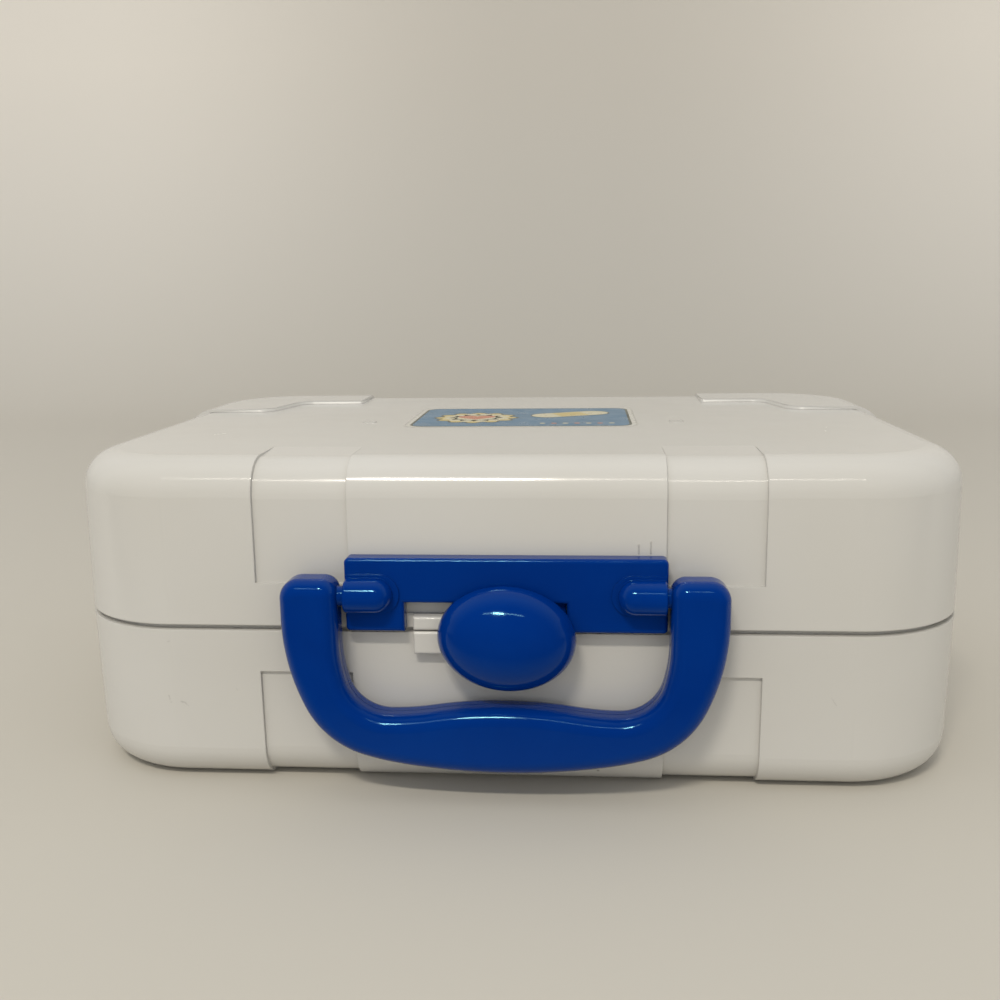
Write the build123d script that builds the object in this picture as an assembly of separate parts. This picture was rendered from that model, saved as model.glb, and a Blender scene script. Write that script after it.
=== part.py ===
from build123d import *
import math
import os

# Toy doctor case, lying flat on its base with the lid up.
# +X runs along the case, the carrying handle is on the front at -Y, the hinges are at the
# back at +Y, and +Z is up.  The origin is the centre of the base's flat underside.
# Every size is in millimetres.  "Out" is the distance in front of the front wall's rim line.
# Pieces are drawn with z = 0 at the base's rim, so that the fittings keep their place on the
# rims, and are lifted by the base's height when they are written.

# --- shells ---
case_width = 280.0
case_depth = 190.0
base_height = 50.0              # table to the base's rim
lid_height = 50.5               # lid's rim to the lid's top face
rim_gap = 1.6                   # shadow gap between the two rims
plan_corner_radius = 37.0
base_edge_radius = 11.5
lid_edge_radius = 11.3
base_draft = 1.0                # degrees
lid_draft = 0.5
wall = 2.2

# --- locating lip inside the base's rim ---
lip_width = 1.2
lip_rise = 3.4                  # above the base's rim
lip_root = 5.0                  # below the base's rim
lip_root_inset = 1.8            # from the rim line, so that the root merges with the wall
lip_clearance = 0.35

# --- sunk bands either side of the front's middle panel ---
middle_panel_width = 94.0
sunk_band_width = 28.6
sunk_band_depth = 1.0
rim_band_height = 13.2          # plain band kept along each rim
sunk_band_fade = 28.0           # how far it runs over the top before it fades out
sunk_band_top_depth = 1.1

# --- raised corner pads at the back ---
pad_proud = 1.3
pad_inner_x = 73.3
pad_inner_y = 60.0
pad_step_x = 102.0
pad_step_slant = 6.0
pad_outer_y = 30.0
pad_step_radius = 7.0

# --- small raised dashes on the lid's top ---
dash_x = 56.75
dash_y = -6.4
dash_length = 5.0
dash_width = 1.2
dash_proud = 0.5

# --- printed label on the lid's top ---
label_width = 84.6
label_depth = 60.5
label_y = 9.75
label_corner_radius = 4.0
label_thickness = 0.15

# --- hinges ---
hinge_x = 48.0
knuckle_radius = 4.0
knuckle_stand_off = 0.6         # barrel to the back wall
end_knuckle_width = 8.0
lid_knuckle_width = 16.0
knuckle_side_gap = 0.4
knuckle_web_drop = 9.0
knuckle_web_angle = 37.0        # degrees, where the web meets the outside of the barrel
hinge_pin_radius = 1.5
pin_press_clearance = 0.03
pin_running_clearance = 0.07
hinge_pin_inset = 0.6

# --- bracket plate that carries the handle and frames the latch ---
plate_width = 94.6
plate_bottom = 1.75
plate_top = 24.0
plate_thickness = 5.2
plate_edge_radius = 1.2         # round the front face
plate_top_corner_radius = 1.6
plate_foot_corner_radius = 1.3
window_left = -29.8
window_right = 18.0
window_top = 10.5

# --- handle pivots ---
pivot_z = 13.3
pivot_out = 7.3
boss_radius = 5.0
boss_inner_x = 32.8
boss_outer_x = 46.7
boss_end_round = 0.7
ledge_margin = 1.0              # how far the ledge shows above and below its boss
ledge_inner_x = 31.0
ledge_height = 0.7
stub_radius = 2.9
stub_clearance = 0.05
stub_reach = 10.0               # length of stub inside its boss
stub_end_gap = 1.5

# --- handle ---
handle_half_width = 64.95
handle_half_opening = 48.15
handle_side_shift = -0.4        # the handle lies to one side of its end play
handle_thickness = 13.4
handle_top_rise = 5.8           # above the pivot
handle_bottom = -39.7
grip_top = -19.4                # at the middle of the hump
# Bends of the outlines from the arms down to the middle: (radius, turn in degrees).  One
# more bend brings each outline level.
handle_outer_bends = [(64.0, -25.0), (28.0, -49.0), (93.0, -7.5)]
grip_inner_bends = [(45.0, -16.0), (13.0, -74.0), (77.0, -9.3)]
handle_edge_radius = 4.4
arm_outer_corner_radius = 5.8
arm_inner_corner_radius = 4.5

# --- bracket screws and the posts they draw up ---
post_x = 38.4
post_low_z = 7.9
post_high_z = 18.9
post_radius = 3.2
post_hole_clearance = 0.3
screw_radius = 1.4
screw_head_radius = 3.9
screw_head_height = 1.9
screw_head_round = 0.9
screw_fit = 0.05
screw_into_plate = 2.6
screw_tip_gap = 0.4

# --- latch keepers, one moulded on each shell ---
keeper_left = -27.5
keeper_right = -12.6
keeper_proud = 3.6
keeper_top = 5.9
keeper_bottom = -5.7
keeper_seam = 1.5
keeper_seam_gap = 0.4
keeper_round = 0.8

# --- sliding latch ---
latch_travel = 12.0
knob_x = 0.57
knob_z = -0.27
knob_half_width = 20.66
knob_half_height = 16.12
knob_back_out = 5.7
knob_back_round = 1.4
knob_bulge = 11.2               # of the half-egg front, from its widest place
slide_gap = 0.4
latch_back_left = -12.2
latch_back_right = 13.0
latch_back_bottom = -9.7
hook_right = 3.0
hook_off_wall = 0.6
guide_right = 17.7
guide_bottom = 6.3
guide_off_window = 0.3
guide_out = 3.0
stem_left = -4.0
stem_width = 12.0
stem_bottom = 6.8
stem_height = 5.8
track_bottom = 6.0
track_top = 13.2
track_depth = 0.8
retainer_width = 22.0
retainer_height = 10.6
retainer_bottom = 4.4
retainer_thickness = 2.0
latch_screw_radius = 1.1
latch_screw_head_radius = 2.6
latch_screw_head_height = 1.6
latch_screw_depth = 5.0         # how far out of the front wall its tip reaches

# --- places that follow from the sizes above ---
front_y = -case_depth / 2
back_y = case_depth / 2
lid_rim_z = rim_gap
lid_top_z = lid_rim_z + lid_height
hinge_y = back_y + knuckle_stand_off + knuckle_radius
hinge_z = rim_gap / 2
pivot_y = front_y - pivot_out
knob_rim_out = knob_back_out + knob_back_round
reach_over = 12.0               # how far cutting shapes run past what they cut


def block(x_range, y_range, z_range):
    """A box between two values on each axis."""
    size = [high - low for low, high in (x_range, y_range, z_range)]
    centre = [(high + low) / 2 for low, high in (x_range, y_range, z_range)]
    return Pos(*centre) * Box(*size)


def out(distance):
    """Y of a point that stands this far in front of the front wall."""
    return front_y - distance


def inner_wall_out(z):
    """How far out the lid's inner front wall stands at height z, as a negative distance."""
    return -wall - (z - lid_rim_z) * math.tan(math.radians(lid_draft))


def rod_x(radius, x_range, y, z):
    """A round rod along X."""
    length = x_range[1] - x_range[0]
    middle = (x_range[0] + x_range[1]) / 2
    return Pos(middle, y, z) * Rot(0, 90, 0) * Cylinder(radius, length)


def rod_y(radius, x, y_range, z):
    """A round rod along Y."""
    length = y_range[1] - y_range[0]
    middle = (y_range[0] + y_range[1]) / 2
    return Pos(x, middle, z) * Rot(90, 0, 0) * Cylinder(radius, length)


# Both shells are the same kind of deep tray.  It is drawn with its rim at z = 0 and its
# closed face above, and is then placed as the lid or turned over as the base.

def rim_plan(inset):
    """The rim's rounded rectangle, moved inwards by inset."""
    return RectangleRounded(
        case_width - 2 * inset, case_depth - 2 * inset, plan_corner_radius - inset
    )


def tray(height, draft, edge_radius, inset=0.0):
    """The tray's outer form, moved inwards by inset."""
    body = extrude(rim_plan(inset), amount=height - inset, taper=draft)
    closed_face = body.faces().sort_by(Axis.Z)[-1]
    return fillet(closed_face.edges(), edge_radius - inset)


def sunk_bands(height, draft, edge_radius):
    """The two shallow bands that run down the front beside the middle panel."""
    lean = math.tan(math.radians(draft))
    far_y = front_y - reach_over
    far_z = height + reach_over
    start = (front_y + rim_band_height * lean + sunk_band_depth, rim_band_height)
    corner = (front_y + height * lean + sunk_band_depth, height - sunk_band_top_depth)
    outline = Polyline(
        (far_y, rim_band_height),
        start,
        corner,
        (front_y + sunk_band_fade, height),
        (front_y + sunk_band_fade, far_z),
        (far_y, far_z),
        close=True,
    )
    face = make_face(Plane.YZ * outline)
    bend = face.vertices().sort_by_distance((0, *corner))[0]
    face = fillet(bend, edge_radius)
    band = extrude(face, amount=sunk_band_width / 2, both=True)
    middle_x = (middle_panel_width + sunk_band_width) / 2
    return Pos(-middle_x, 0, 0) * band + Pos(middle_x, 0, 0) * band


def corner_pads(height, draft, edge_radius, top_limit):
    """Raised pads that wrap the two back corners, from the rim band up to top_limit."""
    far_x = case_width / 2 + reach_over
    far_y = case_depth / 2 + reach_over
    step_in = (pad_step_x - pad_step_slant / 2, pad_inner_y)
    step_out = (pad_step_x + pad_step_slant / 2, pad_outer_y)
    outline = make_face(
        Polyline(
            (pad_inner_x, pad_inner_y),
            step_in,
            step_out,
            (far_x, pad_outer_y),
            (far_x, far_y),
            (pad_inner_x, far_y),
            close=True,
        )
    )
    bends = [outline.vertices().sort_by_distance((*spot, 0))[0] for spot in (step_in, step_out)]
    region = extrude(fillet(bends, pad_step_radius), amount=top_limit - rim_band_height)
    region = Pos(0, 0, rim_band_height) * region
    region = region + mirror(region, Plane.YZ)
    raised = tray(height, draft, edge_radius, inset=-pad_proud)
    return (raised & region) - tray(height, draft, edge_radius, inset=wall / 2)


def empty_tray(height, draft, edge_radius, pad_limit):
    """A shell with its sunk bands and pads, rim down at z = 0."""
    body = tray(height, draft, edge_radius) - sunk_bands(height, draft, edge_radius)
    body = body + corner_pads(height, draft, edge_radius, pad_limit)
    return body - tray(height, draft, edge_radius, inset=wall)


def knuckle_ranges(side):
    """X ranges of one hinge's barrels: the base's outer pair and the lid's middle one."""
    middle = side * hinge_x
    half = lid_knuckle_width / 2
    lid_range = (middle - half, middle + half)
    left = (lid_range[0] - knuckle_side_gap - end_knuckle_width, lid_range[0] - knuckle_side_gap)
    right = (lid_range[1] + knuckle_side_gap, lid_range[1] + knuckle_side_gap + end_knuckle_width)
    return [left, right], lid_range


def knuckle(x_range, web_z):
    """One hinge barrel with the web that carries it from the back wall at height web_z."""
    width = x_range[1] - x_range[0]
    toward = 1 if web_z > hinge_z else -1
    wall_y = back_y - wall / 2
    web = make_face(
        Plane.YZ
        * Polyline(
            (wall_y, hinge_z + toward * rim_gap / 2),
            (hinge_y, hinge_z + toward * rim_gap / 2),
            (
                hinge_y + knuckle_radius * math.cos(math.radians(knuckle_web_angle)),
                hinge_z + toward * knuckle_radius * math.sin(math.radians(knuckle_web_angle)),
            ),
            (wall_y, web_z),
            close=True,
        )
    )
    web = Pos((x_range[0] + x_range[1]) / 2, 0, 0) * extrude(web, amount=width / 2, both=True)
    return web + rod_x(knuckle_radius, x_range, hinge_y, hinge_z)


def keeper(z_range):
    """One half of the latch keeper, standing on the front wall."""
    body = block((keeper_left, keeper_right), (out(keeper_proud), out(-wall / 2)), z_range)
    front = body.faces().sort_by(Axis.Y)[0]
    return fillet(front.edges(), keeper_round)


def make_base_shell():
    shell = empty_tray(base_height, base_draft, base_edge_radius, base_height - base_edge_radius)
    shell = mirror(shell, Plane.XY)
    lip_inset = wall + lip_clearance
    ring_hole = rim_plan(lip_inset + lip_width)
    lip = extrude(rim_plan(lip_inset) - ring_hole, amount=lip_rise)
    root = extrude(rim_plan(lip_root_inset) - ring_hole, amount=lip_root)
    shell = shell + lip + Pos(0, 0, -lip_root) * root
    shell = shell + keeper((keeper_bottom, keeper_seam - keeper_seam_gap / 2))
    for side in (-1, 1):
        for x_range in knuckle_ranges(side)[0]:
            shell = shell + knuckle(x_range, -knuckle_web_drop)
            bore = rod_x(hinge_pin_radius + pin_press_clearance, x_range, hinge_y, hinge_z)
            shell = shell - bore
    return shell


def make_lid_shell():
    shell = empty_tray(lid_height, lid_draft, lid_edge_radius, lid_height + reach_over)
    shell = Pos(0, 0, lid_rim_z) * shell
    for side in (-1, 1):
        x_range = knuckle_ranges(side)[1]
        shell = shell + knuckle(x_range, lid_rim_z + knuckle_web_drop)
        bore = rod_x(hinge_pin_radius + pin_running_clearance, x_range, hinge_y, hinge_z)
        shell = shell - bore
        dash_range = (side * dash_x - dash_length / 2, side * dash_x + dash_length / 2)
        dash_depth = (dash_y - dash_width / 2, dash_y + dash_width / 2)
        dash_z = (lid_top_z - wall / 2, lid_top_z + dash_proud)
        shell = shell + block(dash_range, dash_depth, dash_z)
    shell = shell + keeper((keeper_seam + keeper_seam_gap / 2, keeper_top))
    track_y = (out(reach_over), out(-track_depth))
    track = block((window_left, window_right), track_y, (track_bottom, track_top))
    stem_end = stem_left + stem_width
    slot_x = (stem_left - latch_travel - guide_off_window, stem_end + guide_off_window)
    slot_z = (stem_bottom - guide_off_window, stem_bottom + stem_height + guide_off_window)
    slot = block(slot_x, (out(reach_over), out(-reach_over)), slot_z)
    shell = shell - track - slot
    for x, z in post_places():
        hole = rod_y(post_radius + post_hole_clearance, x, (out(reach_over), out(-reach_over)), z)
        shell = shell - hole
    return shell


def post_places():
    return [(side * post_x, z) for side in (-1, 1) for z in (post_low_z, post_high_z)]


def boss_form(radius, side, end_x, out_to):
    """A pivot boss outline: straight towards the plate, round in front and at its inner end."""
    inner = side * (boss_inner_x + boss_radius)
    ends = sorted((inner, side * end_x))
    centre_y = out(out_to)
    body = rod_x(radius, ends, centre_y, pivot_z)
    body = body + Pos(inner, centre_y, pivot_z) * Sphere(radius)
    root_y = out(plate_thickness / 4)
    body = body + block(ends, (centre_y, root_y), (pivot_z - radius, pivot_z + radius))
    return body + rod_y(radius, inner, (centre_y, root_y), pivot_z)


def make_bracket_plate():
    half = plate_width / 2
    outline = Polyline(
        (-half, plate_bottom),
        (window_left, plate_bottom),
        (window_left, window_top),
        (window_right, window_top),
        (window_right, plate_bottom),
        (half, plate_bottom),
        (half, plate_top),
        (-half, plate_top),
        close=True,
    )
    plate = extrude(make_face(Plane.XZ * outline), amount=plate_thickness)
    plate = Pos(0, front_y, 0) * plate
    for height, radius in (
        (plate_top, plate_top_corner_radius),
        (plate_bottom, plate_foot_corner_radius),
    ):
        at_height = [
            edge
            for edge in plate.edges().filter_by(Axis.Y)
            if abs(edge.center().Z - height) < 0.1 and abs(abs(edge.center().X) - half) < 0.1
        ]
        plate = fillet(at_height, radius)
    front = plate.faces().sort_by(Axis.Y)[0]
    plate = fillet(front.edges(), plate_edge_radius)
    for side in (-1, 1):
        boss = boss_form(boss_radius, side, boss_outer_x, pivot_out)
        outer_end = boss.faces().sort_by(Axis.X)[-1 if side > 0 else 0]
        boss = fillet(outer_end.edges().filter_by(GeomType.CIRCLE), boss_end_round)
        ledge_radius = boss_radius + ledge_margin
        inner = side * (ledge_inner_x + ledge_radius)
        ends = sorted((inner, side * boss_outer_x))
        ledge_y = (out(plate_thickness + ledge_height), out(plate_thickness / 2))
        ledge = block(ends, ledge_y, (pivot_z - ledge_radius, pivot_z + ledge_radius))
        ledge = ledge + rod_y(ledge_radius, inner, ledge_y, pivot_z)
        plate = plate + boss + ledge
        bore_end = boss_outer_x - stub_reach - stub_end_gap
        bore_range = sorted((side * bore_end, side * (boss_outer_x + reach_over)))
        plate = plate - rod_x(stub_radius + stub_clearance, bore_range, pivot_y, pivot_z)
    for x, z in post_places():
        plate = plate + rod_y(post_radius, x, (out(plate_thickness / 2), out(-wall)), z)
        pilot_y = (out(screw_into_plate + screw_tip_gap), out(-reach_over))
        pilot = rod_y(screw_radius + screw_fit, x, pilot_y, z)
        plate = plate - pilot
    return plate


def make_bracket_screws():
    screws = []
    for x, z in post_places():
        seat = inner_wall_out(z + screw_head_radius)
        shank_y = (out(screw_into_plate), out(seat - screw_head_height / 2))
        shank = rod_y(screw_radius, x, shank_y, z)
        head = rod_y(screw_head_radius, x, (out(seat), out(seat - screw_head_height)), z)
        inner_face = head.faces().sort_by(Axis.Y)[-1]
        head = fillet(inner_face.edges(), screw_head_round)
        screws.append(shank + head)
    return Compound(screws)


def bend_chain(start, heading, bends):
    """Arcs that run on from one another without a corner; each bend is (radius, turn)."""
    arcs = []
    for radius, turn in bends:
        arc = JernArc(start, heading, radius, turn)
        arcs.append(arc)
        start = arc @ 1
        heading = arc % 1
    return arcs


def half_outline(side_x, bends, centre_z):
    """A curve from the handle's side round to its middle, level there at centre_z."""
    arcs = bend_chain((side_x, 0), (0, -1), bends)
    reached = (arcs[-1] @ 1).X
    last_turn = -90 - sum(turn for radius, turn in bends)
    last_radius = reached / math.sin(math.radians(abs(last_turn)))
    arcs += bend_chain(arcs[-1] @ 1, arcs[-1] % 1, [(last_radius, last_turn)])
    shift = centre_z - (arcs[-1] @ 1).Y
    return [Pos(0, shift) * arc for arc in arcs]


def make_handle():
    end_z = pivot_z + handle_top_rise
    outer = half_outline(handle_half_width, handle_outer_bends, handle_bottom)
    inner = half_outline(handle_half_opening, grip_inner_bends, grip_top)
    outer_foot = outer[0] @ 0
    inner_foot = inner[0] @ 0
    edges = outer + inner + [
        Line(outer_foot, (handle_half_width, end_z)),
        Line((handle_half_width, end_z), (handle_half_opening, end_z)),
        Line((handle_half_opening, end_z), inner_foot),
        Line((0, grip_top), (0, handle_bottom)),
    ]
    half = Plane.XZ * make_face(edges)
    corners = half.vertices().group_by(Axis.Z)[-1].sort_by(Axis.X)
    half = fillet(corners[-1], arm_outer_corner_radius)
    corners = half.vertices().sort_by_distance((handle_half_opening, 0, end_z))
    half = fillet(corners[0], arm_inner_corner_radius)
    whole = half + mirror(half, Plane.YZ)
    body = extrude(whole, amount=handle_thickness / 2, both=True)
    front_edges = body.faces().sort_by(Axis.Y)[0].edges()
    back_edges = body.faces().sort_by(Axis.Y)[-1].edges()
    body = fillet(front_edges + back_edges, handle_edge_radius)
    body = Pos(handle_side_shift, pivot_y, 0) * body
    for side in (-1, 1):
        root = side * (handle_half_opening + handle_edge_radius)
        tip = side * (boss_outer_x - stub_reach)
        stub_range = sorted((root + handle_side_shift, tip + handle_side_shift))
        body = body + rod_x(stub_radius, stub_range, pivot_y, pivot_z)
    return body


def make_knob_dome():
    """The oval knob: half an egg with a rounded back edge, turned and then drawn in."""
    back_edge = (knob_half_width - knob_back_round, knob_back_out)
    widest = (knob_half_width, knob_rim_out)
    top = (0, knob_rim_out + knob_bulge)
    bulge = EllipticalCenterArc(
        (0, knob_rim_out), knob_half_width, knob_bulge, start_angle=0, arc_size=90
    )
    profile = make_face(
        Line((0, knob_back_out), back_edge)
        + RadiusArc(back_edge, widest, -knob_back_round)
        + bulge
        + Line(top, (0, knob_back_out))
    )
    turned = revolve(profile, Axis.Y)
    oval = scale(turned, by=(1, 1, knob_half_height / knob_half_width))
    return Pos(knob_x, front_y, knob_z) * mirror(oval, Plane.XZ)


def make_latch_knob():
    back_out = (out(knob_rim_out), out(keeper_proud + slide_gap))
    slab_top = window_top - guide_off_window
    slab = block((latch_back_left, latch_back_right), back_out, (latch_back_bottom, slab_top))
    hook_top = keeper_bottom - slide_gap
    hook_y = (out(keeper_proud + 2 * slide_gap), out(hook_off_wall))
    hook = block((latch_back_left, hook_right), hook_y, (latch_back_bottom, hook_top))
    guide_y = (out(guide_out), out(-track_depth / 2))
    guide = block((latch_back_left, guide_right), guide_y, (guide_bottom, slab_top))
    joiner_y = (out(keeper_proud + 2 * slide_gap), out(guide_out / 2))
    joiner = block((latch_back_left, latch_back_right), joiner_y, (guide_bottom, slab_top))
    stem_x = (stem_left, stem_left + stem_width)
    stem_y = (out(guide_out / 2), out(retainer_out()))
    stem = block(stem_x, stem_y, (stem_bottom, slab_top))
    stem_tail_y = (out(-track_depth / 2), out(retainer_out()))
    stem = stem + block(stem_x, stem_tail_y, (stem_bottom, stem_bottom + stem_height))
    body = make_knob_dome() + slab + hook + guide + joiner + stem
    hole_y = (out(latch_screw_depth + slide_gap), out(-reach_over))
    return body - rod_y(latch_screw_radius + screw_fit, screw_place()[0], hole_y, screw_place()[1])


def screw_place():
    """Where the latch screw runs through the stem."""
    return (stem_left + stem_width / 2, (stem_bottom + window_top - guide_off_window) / 2)


def retainer_out():
    """Where the retainer's near face lies, just clear of the lid's inner wall."""
    return inner_wall_out(retainer_bottom + retainer_height) - guide_off_window


def make_latch_retainer():
    x, z = screw_place()
    near = retainer_out()
    plate = block(
        (x - retainer_width / 2, x + retainer_width / 2),
        (out(near), out(near - retainer_thickness)),
        (retainer_bottom, retainer_bottom + retainer_height),
    )
    plate = fillet(plate.edges().filter_by(Axis.Y), retainer_thickness)
    hole = rod_y(latch_screw_radius + screw_fit, x, (out(reach_over), out(-reach_over)), z)
    return plate - hole


def make_latch_screw():
    x, z = screw_place()
    seat = retainer_out() - retainer_thickness
    shank_y = (out(latch_screw_depth), out(seat - latch_screw_head_height / 2))
    shank = rod_y(latch_screw_radius, x, shank_y, z)
    head = rod_y(latch_screw_head_radius, x, (out(seat), out(seat - latch_screw_head_height)), z)
    inner_face = head.faces().sort_by(Axis.Y)[-1]
    head = fillet(inner_face.edges(), screw_head_round)
    return shank + head


def make_hinge_pin(side):
    outer_ranges = knuckle_ranges(side)[0]
    x_range = (outer_ranges[0][0] + hinge_pin_inset, outer_ranges[1][1] - hinge_pin_inset)
    pin = rod_x(hinge_pin_radius, x_range, hinge_y, hinge_z)
    ends = pin.edges().filter_by(GeomType.CIRCLE)
    return chamfer(ends, hinge_pin_radius / 4)


def make_lid_label():
    sheet = RectangleRounded(label_width, label_depth, label_corner_radius)
    return Pos(0, label_y, lid_top_z) * extrude(sheet, amount=label_thickness)


pieces = {
    "base_shell": make_base_shell(),
    "lid_shell": make_lid_shell(),
    "hinge_pin_left": make_hinge_pin(-1),
    "hinge_pin_right": make_hinge_pin(1),
    "bracket_plate": make_bracket_plate(),
    "bracket_screws": make_bracket_screws(),
    "handle": make_handle(),
    "latch_knob": make_latch_knob(),
    "latch_retainer": make_latch_retainer(),
    "latch_screw": make_latch_screw(),
    "lid_label": make_lid_label(),
}

os.makedirs("parts", exist_ok=True)
for name, piece in pieces.items():
    piece = Pos(0, 0, base_height) * piece
    export_step(piece, os.path.join("parts", name + ".step"))
    print(name, "volume", round(piece.volume, 1))
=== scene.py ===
import math

import bmesh
import bpy
from mathutils import Matrix, Vector


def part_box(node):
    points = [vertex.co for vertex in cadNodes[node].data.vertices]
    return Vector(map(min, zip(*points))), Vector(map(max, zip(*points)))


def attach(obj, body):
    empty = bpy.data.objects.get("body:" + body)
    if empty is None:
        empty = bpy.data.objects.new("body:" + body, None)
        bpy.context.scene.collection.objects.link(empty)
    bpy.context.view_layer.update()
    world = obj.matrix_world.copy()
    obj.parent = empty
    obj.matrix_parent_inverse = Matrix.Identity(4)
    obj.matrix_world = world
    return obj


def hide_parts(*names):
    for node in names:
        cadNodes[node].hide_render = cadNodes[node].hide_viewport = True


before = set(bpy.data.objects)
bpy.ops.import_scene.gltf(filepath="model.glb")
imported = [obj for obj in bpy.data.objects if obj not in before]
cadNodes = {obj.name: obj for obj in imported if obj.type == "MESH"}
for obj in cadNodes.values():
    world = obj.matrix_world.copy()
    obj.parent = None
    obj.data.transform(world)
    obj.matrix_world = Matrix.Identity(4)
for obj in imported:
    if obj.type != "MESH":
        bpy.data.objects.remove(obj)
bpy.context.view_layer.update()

# Toy doctor case, in metres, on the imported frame: +X to the right, the handle at -Y, +Z up.

mm = 0.001
frontWallY = -0.095           # the front wall at the rims


# small tools for node trees

def setInputs(node, values):
    for key, value in values.items():
        node.inputs[key].default_value = value


def add(tree, kind, settings=None, inputs=None, links=None):
    # one node: settings are its own options, inputs are fixed values, links are wires into it
    node = tree.nodes.new(kind)
    for key, value in (settings or {}).items():
        setattr(node, key, value)
    setInputs(node, inputs or {})
    for key, socket in (links or {}).items():
        tree.links.new(socket, node.inputs[key])
    return node


def maths(tree, operation, first, second=None, third=None, clamp=False):
    node = tree.nodes.new("ShaderNodeMath")
    node.operation = operation
    node.use_clamp = clamp
    for index, value in enumerate((first, second, third)):
        if value is None:
            continue
        if isinstance(value, (int, float)):
            node.inputs[index].default_value = value
        else:
            tree.links.new(value, node.inputs[index])
    return node.outputs[0]


def remap(tree, value, fromLow, fromHigh, toLow=0.0, toHigh=1.0, smooth=False):
    node = add(
        tree,
        "ShaderNodeMapRange",
        settings={"interpolation_type": "SMOOTHSTEP" if smooth else "LINEAR"},
        inputs={"From Min": fromLow, "From Max": fromHigh, "To Min": toLow, "To Max": toHigh},
        links={"Value": value},
    )
    return node.outputs["Result"]


def noise(tree, place, scale, detail=2.0, roughness=0.5, distortion=0.0):
    node = add(
        tree,
        "ShaderNodeTexNoise",
        inputs={"Scale": scale, "Detail": detail, "Roughness": roughness, "Distortion": distortion},
        links={"Vector": place},
    )
    return node.outputs["Fac"]


def blendColours(tree, factor, first, second):
    node = add(tree, "ShaderNodeMix", settings={"data_type": "RGBA"}, links={0: factor})
    for index, value in ((6, first), (7, second)):
        if isinstance(value, tuple):
            node.inputs[index].default_value = (*value, 1.0)
        else:
            tree.links.new(value, node.inputs[index])
    return node.outputs[2]


def bump(tree, height, distance, strength=1.0, normal=None):
    node = add(
        tree,
        "ShaderNodeBump",
        inputs={"Strength": strength, "Distance": distance},
        links={"Height": height},
    )
    if normal is not None:
        tree.links.new(normal, node.inputs["Normal"])
    return node.outputs["Normal"]


def newMaterial(name):
    material = bpy.data.materials.new(name)
    material.use_nodes = True
    tree = material.node_tree
    tree.nodes.clear()
    shader = tree.nodes.new("ShaderNodeBsdfPrincipled")
    add(tree, "ShaderNodeOutputMaterial", links={"Surface": shader.outputs["BSDF"]})
    place = add(tree, "ShaderNodeTexCoord").outputs["Object"]
    return material, tree, shader, place


# marks of wear and moulding

def makeStrokeGroup():
    # a soft stroke between two points in space, as a mask
    tree = bpy.data.node_groups.new("scuffStroke", "ShaderNodeTree")
    face = tree.interface
    for name in ("Place", "Start", "End"):
        face.new_socket(name, in_out="INPUT", socket_type="NodeSocketVector")
    face.new_socket("Width", in_out="INPUT", socket_type="NodeSocketFloat")
    face.new_socket("Mask", in_out="OUTPUT", socket_type="NodeSocketFloat")
    given = tree.nodes.new("NodeGroupInput").outputs
    along = add(tree, "ShaderNodeVectorMath", {"operation": "SUBTRACT"},
                links={0: given["End"], 1: given["Start"]}).outputs[0]
    offset = add(tree, "ShaderNodeVectorMath", {"operation": "SUBTRACT"},
                 links={0: given["Place"], 1: given["Start"]}).outputs[0]
    dotOffset = add(tree, "ShaderNodeVectorMath", {"operation": "DOT_PRODUCT"},
                    links={0: offset, 1: along}).outputs["Value"]
    dotAlong = add(tree, "ShaderNodeVectorMath", {"operation": "DOT_PRODUCT"},
                   links={0: along, 1: along}).outputs["Value"]
    share = maths(tree, "DIVIDE", dotOffset, dotAlong, clamp=True)
    foot = add(tree, "ShaderNodeVectorMath", {"operation": "SCALE"},
               links={0: along, "Scale": share}).outputs[0]
    away = add(tree, "ShaderNodeVectorMath", {"operation": "DISTANCE"},
               links={0: offset, 1: foot}).outputs["Value"]
    ratio = maths(tree, "DIVIDE", away, given["Width"])
    mask = remap(tree, ratio, 0.35, 1.0, 1.0, 0.0, smooth=True)
    add(tree, "NodeGroupOutput", links={"Mask": mask})
    return tree


strokeGroup = makeStrokeGroup()


def strokes(tree, place, marks, wobble=0.0006):
    # several strokes together, their line broken up a little
    shift = add(tree, "ShaderNodeTexNoise", inputs={"Scale": 700.0, "Detail": 2.0},
                links={"Vector": place}).outputs["Color"]
    centred = add(tree, "ShaderNodeVectorMath", {"operation": "SUBTRACT"},
                  {1: (0.5, 0.5, 0.5)}, {0: shift}).outputs[0]
    wobbled = add(tree, "ShaderNodeVectorMath", {"operation": "MULTIPLY_ADD"},
                  {1: (wobble,) * 3}, {0: centred, 2: place}).outputs[0]
    total = None
    for start, end, width in marks:
        node = tree.nodes.new("ShaderNodeGroup")
        node.node_tree = strokeGroup
        tree.links.new(wobbled, node.inputs["Place"])
        setInputs(node, {"Start": [v * mm for v in start], "End": [v * mm for v in end],
                         "Width": width * mm})
        mask = node.outputs["Mask"]
        total = mask if total is None else maths(tree, "MAXIMUM", total, mask)
    return total


def specks(tree, place, scale, share, size=0.065):
    # tiny dots of dirt, one in some cells of a grid of points
    cells = add(tree, "ShaderNodeTexVoronoi", {"feature": "F1"},
                {"Scale": scale, "Randomness": 1.0}, {"Vector": place})
    dot = remap(tree, cells.outputs["Distance"], size * 0.4, size, 1.0, 0.0)
    chosen = add(tree, "ShaderNodeSeparateColor", links={0: cells.outputs["Color"]}).outputs[0]
    return maths(tree, "MULTIPLY", dot, maths(tree, "LESS_THAN", chosen, share))


def softEdges(tree, radius):
    # moulded corners catch the light as if they had this radius
    return add(tree, "ShaderNodeBevel", {"samples": 4}, {"Radius": radius}).outputs["Normal"]


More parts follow.
